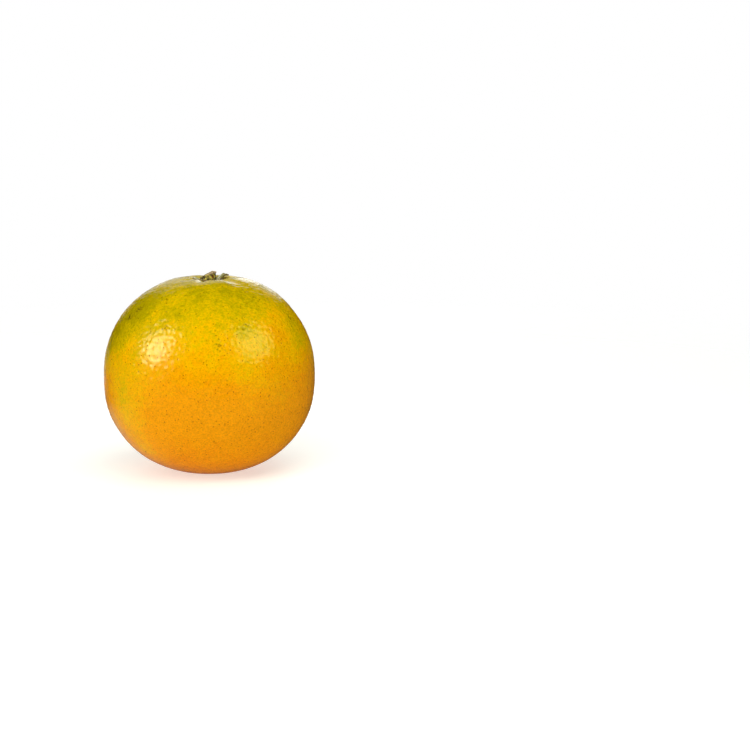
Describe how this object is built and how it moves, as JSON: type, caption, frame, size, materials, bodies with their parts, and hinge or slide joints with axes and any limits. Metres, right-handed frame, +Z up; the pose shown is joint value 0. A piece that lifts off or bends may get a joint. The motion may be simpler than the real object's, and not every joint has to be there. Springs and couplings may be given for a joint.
{
  "type": "mandarin",
  "caption": "Whole round mandarin with a pebbled green-to-orange rind, a furrowed stem dimple holding a dry calyx and cut stalk stub, and a small flat spot to rest on.",
  "frame": {"origin": "middle of the flat spot on the blossom end that the fruit rests on", "axes": "+Z up along the fruit's core from the blossom end to the stalk, -Y towards the side that the picture shows, +X to the right in that view"},
  "size_m": [0.0642, 0.0638, 0.061],
  "materials": {
    "rind": "waxy citrus rind, pitted with oil glands, olive green at the stem end to orange below",
    "calyx": "dry matt sepals, olive brown",
    "stalk": "dry fibrous stalk with a weathered slanting cut"
  },
  "bodies": {
    "root": {"fruit": "rind", "calyx": "calyx", "stalk_stub": "stalk"}
  },
  "joints": []
}
